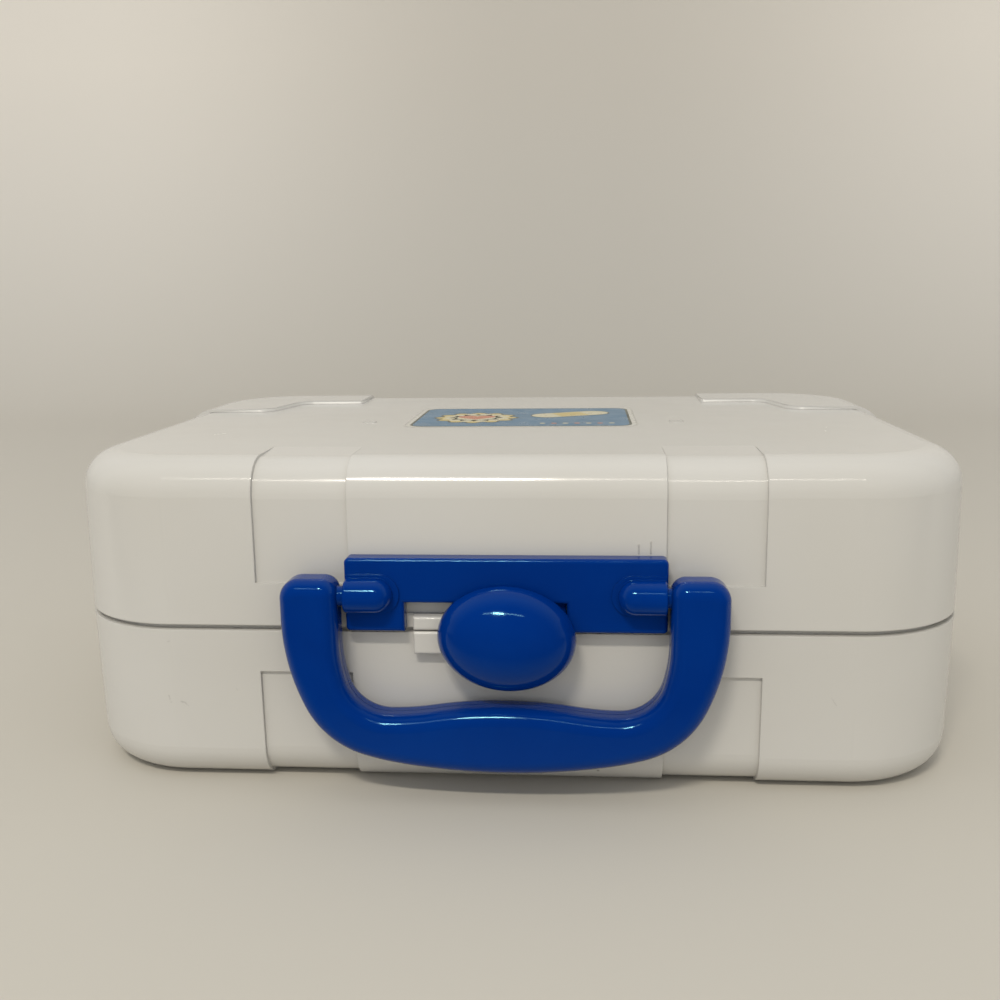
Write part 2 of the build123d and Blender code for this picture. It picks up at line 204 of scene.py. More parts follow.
def mouldedSkin(tree, place, values):
    # slow waves and a fine grain over softened edges
    waves = noise(tree, place, values["waves"], 2.0, 0.4)
    normal = softEdges(tree, values["edgeRadius"])
    normal = bump(tree, waves, values["wavesHeight"], normal=normal)
    grain = noise(tree, place, values["grain"], 2.0)
    return bump(tree, grain, values["grainHeight"], normal=normal)


# materials

whiteShell = {
    "colour": (0.628, 0.612, 0.574),
    "warmer": (0.600, 0.580, 0.532),
    "roughness": (0.085, 0.15),
    "edgeRadius": 0.5 * mm,
    "grain": 1500.0,          # fine texture of the moulded skin
    "grainHeight": 0.0000016,
    "waves": 26.0,            # slow waviness of thin moulded walls
    "wavesHeight": 0.00011,
    "scuffColour": (0.20, 0.18, 0.155),
}

# the sloping steps of the pads are left satin by the mould
satinShell = dict(whiteShell, roughness=(0.27, 0.34))

# wear seen on the front and the top: start, end, width, in millimetres
baseMarks = [
    ((-105.2, -94.6, 28.4), (-104.6, -94.6, 26.2), 0.34),
    ((-101.4, -94.6, 26.6), (-100.2, -94.6, 26.3), 0.36),
    ((-100.2, -94.6, 26.3), (-99.2, -94.6, 25.2), 0.36),
    ((-104.2, -94.8, 46.0), (-103.4, -94.8, 46.2), 0.30),
    ((-83.8, -94.7, 31.2), (-83.2, -94.7, 30.4), 0.22),
    ((96.0, -94.6, 30.8), (97.4, -94.6, 28.6), 0.22),
]
lidMarks = [
    ((-104.9, -37.0, 102.1), (-102.6, -34.8, 102.1), 0.55),
    ((-104.9, -37.0, 102.1), (-105.2, -38.6, 102.1), 0.40),
    ((104.2, -33.8, 102.1), (104.4, -33.0, 102.1), 0.36),
    ((106.8, -24.0, 102.1), (107.0, -22.8, 102.1), 0.36),
    ((86.8, -90.5, 99.0), (89.6, -90.9, 98.8), 0.30),
    ((-123.5, -91.6, 80.4), (-123.1, -91.8, 79.4), 0.50),
]


def makeWhitePlastic(name, values, marks):
    material, tree, shader, place = newMaterial(name)
    cloud = noise(tree, place, 9.0, 3.0)
    tone = remap(tree, cloud, 0.35, 0.7)
    colour = blendColours(tree, tone, values["colour"], values["warmer"])
    worn = strokes(tree, place, marks)
    broken = remap(tree, noise(tree, place, 1600.0, 2.0), 0.35, 0.6)
    worn = maths(tree, "MULTIPLY", worn, broken)
    dots = specks(tree, place, 110.0, 0.04)
    dirt = maths(tree, "MAXIMUM", maths(tree, "MULTIPLY", worn, 0.5), dots)
    colour = blendColours(tree, maths(tree, "MULTIPLY", dirt, 0.7), colour, values["scuffColour"])
    tree.links.new(colour, shader.inputs["Base Color"])
    smear = noise(tree, place, 34.0, 5.0, 0.6)
    gloss = remap(tree, smear, 0.3, 0.75, *values["roughness"])
    gloss = maths(tree, "ADD", gloss, maths(tree, "MULTIPLY", worn, 0.3))
    tree.links.new(gloss, shader.inputs["Roughness"])
    tree.links.new(mouldedSkin(tree, place, values), shader.inputs["Normal"])
    setInputs(shader, {"IOR": 1.49, "Specular IOR Level": 0.5})
    return material


bluePlastic = {
    "colour": (0.0003, 0.0300, 0.2180),
    "deeper": (0.0002, 0.0245, 0.1920),
    "shine": (0.34, 0.86, 1.0),   # tint of its highlights
    "roughness": (0.06, 0.14),
    "edgeRadius": 0.35 * mm,
    "grain": 1300.0,
    "grainHeight": 0.0000012,
    "waves": 60.0,
    "wavesHeight": 0.00004,
}


def makeBluePlastic(name, values):
    material, tree, shader, place = newMaterial(name)
    flow = noise(tree, place, 22.0, 4.0, 0.6, 0.4)
    colour = blendColours(tree, remap(tree, flow, 0.3, 0.72), values["colour"], values["deeper"])
    tree.links.new(colour, shader.inputs["Base Color"])
    smear = noise(tree, place, 70.0, 5.0, 0.6)
    gloss = remap(tree, smear, 0.3, 0.75, *values["roughness"])
    tree.links.new(gloss, shader.inputs["Roughness"])
    tree.links.new(mouldedSkin(tree, place, values), shader.inputs["Normal"])
    setInputs(shader, {"IOR": 1.47, "Specular IOR Level": 0.40})
    setInputs(shader, {"Specular Tint": (*values["shine"], 1.0)})
    return material


platedSteel = {
    "colour": (0.56, 0.56, 0.58),
    "stained": (0.40, 0.38, 0.34),
    "roughness": (0.22, 0.42),
}


def makePlatedSteel(name, values):
    material, tree, shader, place = newMaterial(name)
    stain = remap(tree, noise(tree, place, 420.0, 4.0, 0.65), 0.45, 0.75)
    colour = blendColours(tree, stain, values["colour"], values["stained"])
    tree.links.new(colour, shader.inputs["Base Color"])
    stretched = add(tree, "ShaderNodeMapping", inputs={"Scale": (0.15, 1.0, 1.0)},
                    links={"Vector": place}).outputs[0]
    lines = noise(tree, stretched, 5200.0, 3.0)
    tree.links.new(remap(tree, lines, 0.3, 0.7, *values["roughness"]), shader.inputs["Roughness"])
    tree.links.new(bump(tree, lines, 0.000004, 0.5), shader.inputs["Normal"])
    setInputs(shader, {"Metallic": 1.0})
    return material


def makePrintInk(name, colour, fade, roughness=0.32):
    # printed ink under a clear film, a little uneven
    material, tree, shader, place = newMaterial(name)
    patch = remap(tree, noise(tree, place, 55.0, 4.0, 0.6), 0.3, 0.75)
    dots = remap(tree, noise(tree, place, 2600.0, 1.0), 0.4, 0.65, 0.0, 0.25)
    mixed = blendColours(tree, maths(tree, "ADD", patch, dots, clamp=True), colour, fade)
    tree.links.new(mixed, shader.inputs["Base Color"])
    smear = noise(tree, place, 160.0, 3.0)
    gloss = remap(tree, smear, 0.3, 0.7, roughness - 0.06, roughness + 0.08)
    tree.links.new(gloss, shader.inputs["Roughness"])
    normal = bump(tree, noise(tree, place, 90.0, 3.0), 0.00003)
    tree.links.new(normal, shader.inputs["Normal"])
    setInputs(shader, {"IOR": 1.47})
    return material


materials = {
    "baseWhite": makeWhitePlastic("baseWhitePlastic", whiteShell, baseMarks),
    "lidWhite": makeWhitePlastic("lidWhitePlastic", whiteShell, lidMarks),
    "satinWhite": makeWhitePlastic("satinWhitePlastic", satinShell, lidMarks[:1]),
    "blue": makeBluePlastic("bluePlastic", bluePlastic),
    "steel": makePlatedSteel("platedSteel", platedSteel),
    "film": makePrintInk("labelFilm", (0.640, 0.625, 0.570), (0.590, 0.570, 0.505), 0.26),
    "filmEdge": makePrintInk("labelFilmEdge", (0.400, 0.390, 0.345), (0.350, 0.340, 0.300)),
    "outline": makePrintInk("labelOutline", (0.062, 0.070, 0.050), (0.085, 0.095, 0.070)),
    "field": makePrintInk("labelField", (0.095, 0.215, 0.345), (0.080, 0.180, 0.285)),
    "cream": makePrintInk("labelCream", (0.590, 0.545, 0.360), (0.640, 0.585, 0.420)),
    "yellow": makePrintInk("labelYellow", (0.560, 0.440, 0.150), (0.600, 0.480, 0.210)),
    "coral": makePrintInk("labelCoral", (0.500, 0.175, 0.100), (0.560, 0.240, 0.150)),
}

nodeMaterials = {
    "base_shell": "baseWhite",
    "lid_shell": "lidWhite",
    "latch_retainer": "lidWhite",
    "bracket_plate": "blue",
    "handle": "blue",
    "hinge_pin_left": "steel",
    "hinge_pin_right": "steel",
}
for nodeName, key in nodeMaterials.items():
    cadNodes[nodeName].material_slots[0].material = materials[key]
print("materials made")


# tools for meshes

def meshObject(name, vertices, faces, material=None):
    mesh = bpy.data.meshes.new(name)
    mesh.from_pydata(vertices, [], faces)
    mesh.validate()
    mesh.update()
    piece = bpy.data.objects.new(name, mesh)
    bpy.context.scene.collection.objects.link(piece)
    if material:
        mesh.materials.append(material)
    return piece


def outwards(piece):
    work = bmesh.new()
    work.from_mesh(piece.data)
    bmesh.ops.remove_doubles(work, verts=work.verts, dist=1e-7)
    bmesh.ops.recalc_face_normals(work, faces=work.faces)
    work.to_mesh(piece.data)
    work.free()


def smoothed(piece, angle=35.0):
    piece.data.shade_smooth()
    piece.data.set_sharp_from_angle(angle=math.radians(angle))


def plainMesh(piece):
    # the evaluated result as a mesh with no modifiers left
    depsgraph = bpy.context.evaluated_depsgraph_get()
    result = bpy.data.meshes.new_from_object(piece.evaluated_get(depsgraph))
    piece.modifiers.clear()
    piece.data = result
    return piece


def slab(name, outline, lowZ, highZ, material):
    # a flat closed shape standing between two heights
    count = len(outline)
    vertices = [(x, y, lowZ) for x, y in outline] + [(x, y, highZ) for x, y in outline]
    faces = [tuple(reversed(range(count))), tuple(range(count, 2 * count))]
    for i in range(count):
        j = (i + 1) % count
        faces.append((i, j, j + count, i + count))
    piece = meshObject(name, vertices, faces, material)
    outwards(piece)
    return piece


def roundedOutline(width, depth, radius, centre=(0.0, 0.0), steps=10):
    points = []
    for quarter in range(4):
        signX = 1 if quarter in (0, 3) else -1
        signY = 1 if quarter in (0, 1) else -1
        cornerX = centre[0] + signX * (width / 2 - radius)
        cornerY = centre[1] + signY * (depth / 2 - radius)
        for i in range(steps + 1):
            angle = math.radians(90 * quarter + 90 * i / steps)
            points.append((cornerX + radius * math.cos(angle), cornerY + radius * math.sin(angle)))
    return points


# the printed label

label = {
    "layer": 0.05 * mm,       # the film's thickness; the prints stand shares of it above
    "sunk": 0.02 * mm,        # how far the layers reach into the lid
    "filmRadius": 6.4 * mm,
    "filmRim": 0.3 * mm,
    "outlineInset": 1.9 * mm,
    "outlineWidth": 0.9 * mm,
    "outlineRadius": 5.6 * mm,
    "plasterCentre": (17.8 * mm, 17.5 * mm),
    "plasterSize": (31.0 * mm, 12.5 * mm),
    "plasterTurn": 24.0,      # degrees
    "plasterOutline": 0.6 * mm,
    "padSize": (11.5 * mm, 10.75 * mm),
    "padRadius": 0.8 * mm,
    "flowerCentre": (-18.0 * mm, 7.0 * mm),
    "flowerRadius": 15.5 * mm,
    "petals": 12,
    "petalLength": 0.62,      # share of the flower's radius
    "petalWidth": 0.36,       # share of the petal's length, each side
    "petalTaper": 0.25,
    "petalRings": (           # print, reach, length, width, height
        ("outline", 1.04, 1.08, 1.08 * 1.18, 0.75),
        ("yellow", 1.0, 1.0, 1.0, 0.9),
        ("cream", 0.86, 0.95, 0.95, 1.2),
    ),
    "discOutline": 1.06,      # shares of the flower's radius
    "disc": 0.95,
    "heart": 7.2 * mm,
    "dots": 7,
    "dotSize": 2.2 * mm,
    "dotStart": (8.0 * mm, -10.5 * mm),
    "dotStep": 4.2 * mm,
}


def heartOutline(size, centre, steps=40):
    points = []
    for i in range(steps):
        t = 2 * math.pi * i / steps
        x = 16 * math.sin(t) ** 3
        y = 13 * math.cos(t) - 5 * math.cos(2 * t) - 2 * math.cos(3 * t) - math.cos(4 * t)
        points.append((centre[0] - x * size / 16, centre[1] + (y + 2.5) * size / 16))
    return points


def turned(points, degrees, centre):
    angle = math.radians(degrees)
    result = []
    for x, y in points:
        dx, dy = x - centre[0], y - centre[1]
        result.append((centre[0] + dx * math.cos(angle) - dy * math.sin(angle),
                       centre[1] + dx * math.sin(angle) + dy * math.cos(angle)))
    return result


def newGeometryTree(name, sockets):
    tree = bpy.data.node_groups.new(name, "GeometryNodeTree")
    tree.interface.new_socket("Geometry", in_out="INPUT", socket_type="NodeSocketGeometry")
    for socketName, kind in sockets.items():
        tree.interface.new_socket(socketName, in_out="INPUT", socket_type=kind)
    tree.interface.new_socket("Geometry", in_out="OUTPUT", socket_type="NodeSocketGeometry")
    return tree, tree.nodes.new("NodeGroupInput").outputs


def applyTree(piece, tree, values):
    modifier = piece.modifiers.new(tree.name, "NODES")
    modifier.node_group = tree
    identifiers = {
        item.name: item.identifier
        for item in tree.interface.items_tree
        if item.item_type == "SOCKET" and item.in_out == "INPUT"
    }
    for key, value in values.items():
        modifier[identifiers[key]] = value
    return plainMesh(piece)


def endTree(tree, geometry, material):
    # copies made real, painted and handed on
    real = add(tree, "GeometryNodeRealizeInstances", links={"Geometry": geometry}).outputs[0]
    painted = add(tree, "GeometryNodeSetMaterial",
                  links={"Geometry": real, "Material": material}).outputs[0]
    add(tree, "NodeGroupOutput", links={"Geometry": painted})
    return tree


def makeRingTree():
    # copies of a given mesh set round a ring, each facing outwards
    tree, given = newGeometryTree("ringOfCopies", {
        "Count": "NodeSocketInt",
        "Radius": "NodeSocketFloat",
        "Centre": "NodeSocketVector",
        "Material": "NodeSocketMaterial",
    })
    ring = add(tree, "GeometryNodeMeshCircle", links={"Vertices": given["Count"],
                                                      "Radius": given["Radius"]}).outputs["Mesh"]
    position = add(tree, "GeometryNodeInputPosition").outputs[0]
    facing = add(tree, "FunctionNodeAlignRotationToVector", {"axis": "Y"},
                 links={"Vector": position}).outputs[0]
    copies = add(tree, "GeometryNodeInstanceOnPoints",
                 links={"Points": ring, "Instance": given["Geometry"], "Rotation": facing})
    moved = add(tree, "GeometryNodeTransform",
                links={"Geometry": copies.outputs[0], "Translation": given["Centre"]}).outputs[0]
    return endTree(tree, moved, given["Material"])


ringTree = makeRingTree()


def petalOutline(length, width, taper, steps=18):
    points = []
    for i in range(steps):
        angle = 2 * math.pi * i / steps
        side = width * math.sin(angle) * (1 - taper * math.cos(angle))
        points.append((side, 0.5 * length * math.cos(angle)))
    return points


def makeLabel(values):
    low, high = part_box("lid_label")
    centre = ((low.x + high.x) / 2, (low.y + high.y) / 2)
    width, depth = high.x - low.x, high.y - low.y
    floorZ = low.z - values["sunk"]
    pieces = []

    def topOf(lift):
        return low.z + (1 + lift) * values["layer"]

    def addLayer(name, outline, lift, key):
        pieces.append(slab("label_" + name, outline, floorZ, topOf(lift), materials[key]))

    def addSheet(name, inset, radius, lift, key):
        sheet = roundedOutline(width - 2 * inset, depth - 2 * inset, radius, centre)
        addLayer(name, sheet, lift, key)

    radius, rim = values["filmRadius"], values["filmRim"]
    addSheet("film_edge", 0.0, radius, -0.3, "filmEdge")
    addSheet("film", rim, radius - rim, 0.0, "film")
    inset, radius, line = values["outlineInset"], values["outlineRadius"], values["outlineWidth"]
    addSheet("outline", inset, radius, 0.3, "outline")
    addSheet("field", inset + line, radius - line, 0.6, "field")

    # flower: rings of petals made by the ring tree, the last turned by half a petal
    spot, flowerRadius, count = values["flowerCentre"], values["flowerRadius"], values["petals"]
    petalLong = values["petalLength"] * flowerRadius
    for key, reach, length, breadth, lift in values["petalRings"]:
        outline = petalOutline(length * petalLong, breadth * values["petalWidth"] * petalLong,
                               values["petalTaper"])
        petal = slab("petal", outline, floorZ, topOf(lift), None)
        flower = applyTree(petal, ringTree, {
            "Count": count,
            "Radius": flowerRadius * reach - 0.5 * petalLong,
            "Centre": (*spot, 0.0),
            "Material": materials[key],
        })
        flower.name = "label_petals_" + key
        pieces.append(flower)
    spin = Matrix.Rotation(math.pi / count, 4, "Z")
    move = Matrix.Translation((*spot, 0.0))
    pieces[-1].data.transform(move @ spin @ move.inverted())

    # the flower's middle, with a heart on it
    size = values["discOutline"] * flowerRadius
    addLayer("disc_outline", roundedOutline(size, size, 0.49 * size, spot), 1.27, "outline")
    size = values["disc"] * flowerRadius
    addLayer("disc", roundedOutline(size, size, 0.47 * flowerRadius, spot), 1.35, "cream")
    addLayer("heart", heartOutline(values["heart"], spot), 1.5, "coral")

    # sticking plaster: a cream strip with a yellow pad
    spot, (length, breadth) = values["plasterCentre"], values["plasterSize"]
    rim, radius = values["plasterOutline"], 0.49 * breadth
    for name, outline, lift, key in (
        ("plaster_outline", (length + 2 * rim, breadth + 2 * rim, radius + rim), 1.0, "outline"),
        ("plaster", (length, breadth, radius), 1.2, "cream"),
        ("pad", (*values["padSize"], values["padRadius"]), 1.35, "yellow"),
    ):
        outline = turned(roundedOutline(*outline, spot), values["plasterTurn"], spot)
        addLayer(name, outline, lift, key)

    # a row of small dots under the plaster
    size = values["dotSize"]
    startX, startY = values["dotStart"]
    for i in range(values["dots"]):
        spot = (startX + values["dotStep"] * i, startY)
        dot = roundedOutline(size, size, size / 2 - 0.01 * mm, spot, 4)
        addLayer(f"dot_{i + 1}", dot, 1.2, "coral" if i % 2 else "cream")
    for piece in pieces:
        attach(piece, "lid")
    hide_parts("lid_label")


makeLabel(label)
print("label made")


# screws

panScrew = {
    "headRadius": 3.9 * mm,
    "headHeight": 1.9 * mm,
    "crown": 0.62,            # share of the head's height that is domed
    "recess": 2.1 * mm,       # half length of the cross recess
    "recessWidth": 0.85 * mm,
    "recessDepth": 1.15 * mm,
    "shankRadius": 1.4 * mm,
    "spinSeed": 4,            # each screw stopped at its own angle
}
smallScrew = {
    "headRadius": 2.6 * mm,
    "headHeight": 1.6 * mm,
    "crown": 0.62,
    "recess": 1.45 * mm,
    "recessWidth": 0.65 * mm,
    "recessDepth": 0.9 * mm,
    "shankRadius": 1.1 * mm,
}


def bridged(lower, upper, steps):
    # faces between two rings, either of which may be a single point
    faces = []
    for i in range(steps):
        j = (i + 1) % steps
        corners = [lower[i % len(lower)], lower[j % len(lower)],
                   upper[j % len(upper)], upper[i % len(upper)]]
        face = [c for k, c in enumerate(corners) if c not in corners[:k]]
        if len(face) > 2:
            faces.append(tuple(face))
    return faces


def turnedMesh(name, profile, steps):
    # profile of (radius, height) turned about Z
    vertices, faces, rings = [], [], []
    for radius, height in profile:
        if radius < 1e-9:
            rings.append([len(vertices)])
            vertices.append((0.0, 0.0, height))
            continue
        rings.append(list(range(len(vertices), len(vertices) + steps)))
        for i in range(steps):
            angle = 2 * math.pi * i / steps
            vertices.append((radius * math.cos(angle), radius * math.sin(angle), height))
    for lower, upper in zip(rings, rings[1:]):
        faces += bridged(lower, upper, steps)
    piece = meshObject(name, vertices, faces)
    outwards(piece)
    return piece


def makeScrewMesh(name, values, shankLength):
    # head's crown at +Z, seat at z = 0, shank below; a cross recess is cut out of the crown
    radius, height, shank = values["headRadius"], values["headHeight"], values["shankRadius"]
    crown = height * values["crown"]
    side = height - crown
    profile = [(0.0, -shankLength), (shank, -shankLength), (shank, 0.0),
               (radius * 0.94, 0.0), (radius, side * 0.3), (radius, side)]
    steps = 8
    for i in range(1, steps):
        angle = math.radians(90 * i / steps)
        if i <= steps / 2:    # the shoulder turns in a little, then the top closes over
            share = 1 - 0.42 * (1 - math.cos(angle))
        else:
            share = 0.88 * (1 - (2 * i / steps - 1) ** 1.15)
        profile.append((radius * share, side + crown * math.sin(angle)))
    profile.append((0.0, height))
    screw = turnedMesh(name, profile, 40)
    cutter = bmesh.new()
    for turn in (0.0, math.pi / 2):
        made = bmesh.ops.create_cube(cutter, size=1.0)["verts"]
        stretch = Matrix.Diagonal((2 * values["recess"], values["recessWidth"],
                                   2 * values["recessDepth"], 1.0))
        bmesh.ops.transform(cutter, verts=made, matrix=Matrix.Translation((0, 0, height))
                            @ Matrix.Rotation(turn, 4, "Z") @ stretch)
        for vertex in made:
            if vertex.co.z < height:    # narrower at the bottom
                vertex.co.x *= 0.45
                vertex.co.y *= 0.45 if turn else 0.7
    mesh = bpy.data.meshes.new("recess")
    cutter.to_mesh(mesh)
    cutter.free()
    tool = bpy.data.objects.new("recess", mesh)
    bpy.context.scene.collection.objects.link(tool)
    cut = screw.modifiers.new("recess", "BOOLEAN")
    cut.operation = "DIFFERENCE"
    cut.solver = "EXACT"
    cut.use_self = True
    cut.object = tool
    plainMesh(screw)
    bpy.data.objects.remove(tool)
    smoothed(screw, 40.0)
    return screw


def makeScrewTree():
    # four copies of a screw at the corners of an upright rectangle, pointing along Y
    tree, given = newGeometryTree("screwPattern", {
        "Spacing X": "NodeSocketFloat",
        "Spacing Z": "NodeSocketFloat",
        "Centre": "NodeSocketVector",
        "Seed": "NodeSocketInt",
        "Material": "NodeSocketMaterial",
    })
    grid = add(tree, "GeometryNodeMeshGrid", inputs={"Vertices X": 2, "Vertices Y": 2},
               links={"Size X": given["Spacing X"], "Size Y": given["Spacing Z"]}).outputs["Mesh"]
    spin = add(tree, "FunctionNodeRandomValue", {"data_type": "FLOAT"},
               links={"Seed": given["Seed"]})
    spin.inputs[2].default_value = 0.0
    spin.inputs[3].default_value = math.pi / 2
    turn = add(tree, "ShaderNodeCombineXYZ", links={"Z": spin.outputs[1]}).outputs[0]
    copies = add(tree, "GeometryNodeInstanceOnPoints",
                 links={"Points": grid, "Instance": given["Geometry"], "Rotation": turn})
    moved = add(tree, "GeometryNodeTransform", inputs={"Rotation": (-math.pi / 2, 0.0, 0.0)},
                links={"Geometry": copies.outputs[0], "Translation": given["Centre"]}).outputs[0]
    return endTree(tree, moved, given["Material"])


def makeBracketScrews(values):
    low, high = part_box("bracket_screws")
    radius = values["headRadius"]
    seatY = high.y - values["headHeight"]
    screw = makeScrewMesh("bracketScrew", values, seatY - low.y)
    screws = applyTree(screw, makeScrewTree(), {
        "Spacing X": high.x - low.x - 2 * radius,
        "Spacing Z": high.z - low.z - 2 * radius,
        "Centre": (0.0, seatY, (low.z + high.z) / 2),
        "Seed": values["spinSeed"],
        "Material": materials["steel"],
    })
    screws.name = "bracket_screw_set"
    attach(screws, "lid")
    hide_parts("bracket_screws")


def makeLatchScrew(values):
    low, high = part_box("latch_screw")
    seatY = high.y - values["headHeight"]
    screw = makeScrewMesh("latch_screw_turned", values, seatY - low.y)
    screw.data.materials.append(materials["steel"])
    place = Matrix.Translation(((low.x + high.x) / 2, seatY, (low.z + high.z) / 2))
    screw.data.transform(place @ Matrix.Rotation(-math.pi / 2, 4, "X"))
    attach(screw, "latch")
    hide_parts("latch_screw")


makeBracketScrews(panScrew)
makeLatchScrew(smallScrew)
print("screws made")


# the latch knob's cap: a domed oval that hangs a little lower on the right

knobCap = {
    "centre": (0.55 * mm, 50.83 * mm),
    "halfWidth": 20.33 * mm,
    "halfHeight": 15.64 * mm,
    "turn": -4.3,             # degrees
    "backOut": 5.6 * mm,      # in front of the front wall
    "backRound": 1.5 * mm,
    "bulge": 11.9 * mm,
    "steps": 144,
    "gap": 0.05 * mm,         # between the kept stem and the cap's back
}


def knobProfile(values):
    # how far inside the oval's edge, how far in front of the wall, and the share of the oval's size
    edge = values["backRound"]
    profile = [(values["halfHeight"], values["backOut"], 0.0)]
    for i in range(9):
        angle = math.radians(90 * i / 8)
        profile.append((edge * (1 - math.sin(angle)),
                        values["backOut"] + edge * (1 - math.cos(angle)), 1.0))
    for i in range(1, 37):
        angle = math.radians(90 * i / 36)
        profile.append((0.0, values["backOut"] + edge + values["bulge"] * math.sin(angle),
                        math.cos(angle)))
    return profile


def makeKnob(values):
    work = bmesh.new()
    work.from_mesh(cadNodes["latch_knob"].data)
    bmesh.ops.remove_doubles(work, verts=work.verts, dist=1e-6)
    whole = work.verts[:] + work.edges[:] + work.faces[:]
    cutY = frontWallY - values["backOut"] - values["gap"]
    cut = bmesh.ops.bisect_plane(work, geom=whole, plane_co=(0, cutY, 0), plane_no=(0, -1, 0),
                                 clear_outer=True)["geom_cut"]
    rim = [e for e in cut if isinstance(e, bmesh.types.BMEdge)]
    bmesh.ops.edgeloop_fill(work, edges=rim)
    centreX, centreZ = values["centre"]
    cosine, sine = (way(math.radians(values["turn"])) for way in (math.cos, math.sin))
    rings = []
    for inset, out, share in knobProfile(values):
        reachX = (values["halfWidth"] - inset) * share
        reachZ = (values["halfHeight"] - inset) * share
        y = frontWallY - out
        if share < 1e-6:
            rings.append([work.verts.new((centreX, y, centreZ))])
            continue
        ring = []
        for i in range(values["steps"]):
            angle = 2 * math.pi * i / values["steps"]
            x, z = reachX * math.cos(angle), reachZ * math.sin(angle)
            ring.append(work.verts.new((centreX + x * cosine - z * sine, y,
                                        centreZ + x * sine + z * cosine)))
        rings.append(ring)
    for back, front in zip(rings, rings[1:]):
        for face in bridged(back, front, values["steps"]):
            work.faces.new(face)
    mesh = bpy.data.meshes.new("latch_knob_moulding")
    bmesh.ops.recalc_face_normals(work, faces=work.faces)
    work.to_mesh(mesh)
    work.free()
    knob = bpy.data.objects.new("latch_knob_moulding", mesh)
    bpy.context.scene.collection.objects.link(knob)
    mesh.materials.append(materials["blue"])
    smoothed(knob, 32.0)
    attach(knob, "latch")
    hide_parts("latch_knob")


makeKnob(knobCap)
print("knob made")


# parting line, moulded ridges and pad steps

def makeBeadTree():
    # a thin bead along the edges of a mesh
    tree, given = newGeometryTree("partingBead", {
        "Radius": "NodeSocketFloat",
        "Step": "NodeSocketFloat",
        "Material": "NodeSocketMaterial",
    })
    curve = add(tree, "GeometryNodeMeshToCurve", links={"Mesh": given["Geometry"]}).outputs[0]
    even = add(tree, "GeometryNodeResampleCurve", {"mode": "LENGTH"},
               links={"Curve": curve, "Length": given["Step"]}).outputs[0]
    ring = add(tree, "GeometryNodeCurvePrimitiveCircle", {"mode": "RADIUS"}, {"Resolution": 6},
               {"Radius": given["Radius"]}).outputs[0]
    tube = add(tree, "GeometryNodeCurveToMesh",
               links={"Curve": even, "Profile Curve": ring}).outputs[0]
    soft = add(tree, "GeometryNodeSetShadeSmooth", links={"Geometry": tube}).outputs[0]
    return endTree(tree, soft, given["Material"])


partingLine = {
    "radius": 0.06 * mm,
    "step": 1.2 * mm,
    "stopBelowTop": 18.0 * mm,
}


def makePartingLine(values):
    # where the handle's middle plane cuts its surface, below the pivots
    low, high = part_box("handle")
    middle, stopZ = (0, (low.y + high.y) / 2, 0), high.z - values["stopBelowTop"]
    work = bmesh.new()
    work.from_mesh(cadNodes["handle"].data)
    bmesh.ops.remove_doubles(work, verts=work.verts, dist=1e-6)
    whole = work.verts[:] + work.edges[:] + work.faces[:]
    cut = bmesh.ops.bisect_plane(work, geom=whole, plane_co=middle, plane_no=(0, 1, 0))["geom_cut"]
    edges = [e for e in cut if isinstance(e, bmesh.types.BMEdge)
             and all(vertex.co.z < stopZ for vertex in e.verts)]
    order = {}
    for edge in edges:
        for vertex in edge.verts:
            order.setdefault(vertex, len(order))
    vertices = [vertex.co.copy() for vertex in order]
    pairs = [(order[e.verts[0]], order[e.verts[1]]) for e in edges]
    work.free()
    mesh = bpy.data.meshes.new("handle_parting_line")
    mesh.from_pydata(vertices, pairs, [])
    line = bpy.data.objects.new("handle_parting_line", mesh)
    bpy.context.scene.collection.objects.link(line)
    seam = applyTree(line, makeBeadTree(), {
        "Radius": values["radius"],
        "Step": values["step"],
        "Material": materials["blue"],
    })
    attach(seam, "handle")


makePartingLine(partingLine)

ridges = {
    "places": (38.9 * mm, 42.4 * mm),
    "lengths": (2.7 * mm, 3.6 * mm),
    "width": 0.34 * mm,
    "proud": 0.22 * mm,
    "root": 0.05 * mm,        # how far they reach into the wall
    "bottom": 74.6 * mm,
    "rimZ": 51.6 * mm,        # the lid's rim, from which its wall leans back
    "draft": 0.5,             # degrees
}


def makeRidges(values):
    # two short raised lines over the bracket plate's right end
    lean = math.tan(math.radians(values["draft"]))
    foot, crest = 0.8 * values["width"], 0.3 * values["width"]
    for index, (x, length) in enumerate(zip(values["places"], values["lengths"])):
        vertices = []
        for z in (values["bottom"], values["bottom"] + length):
            wallY = frontWallY + (z - values["rimZ"]) * lean
            rootY, crestY = wallY + values["root"], wallY - values["proud"]
            vertices += [(x - foot, rootY, z), (x - crest, crestY, z),
                         (x + crest, crestY, z), (x + foot, rootY, z)]
        faces = [(0, 1, 5, 4), (1, 2, 6, 5), (2, 3, 7, 6), (3, 0, 4, 7), (0, 3, 2, 1), (4, 5, 6, 7)]
        ridge = meshObject(f"moulded_ridge_{index + 1}", vertices, faces, materials["lidWhite"])
        outwards(ridge)
        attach(ridge, "lid")


makeRidges(ridges)

# sloping foot along the steps of the lid's two corner pads
padSteps = {
    "innerX": 73.3 * mm,
    "innerY": 60.0 * mm,
    "bendIn": (99.0 * mm, 60.0 * mm),
    "bendOut": (105.0 * mm, 30.0 * mm),
    "bendRadius": 7.0 * mm,
    "endX": 131.0 * mm,
    "backY": 84.0 * mm,
    "slope": 0.62 * mm,       # how far the foot reaches out from the step
    "fade": 4.0 * mm,         # length over which each end runs out
    "root": 0.3 * mm,         # how far it reaches back into the pad
    "sunk": 0.02 * mm,
}


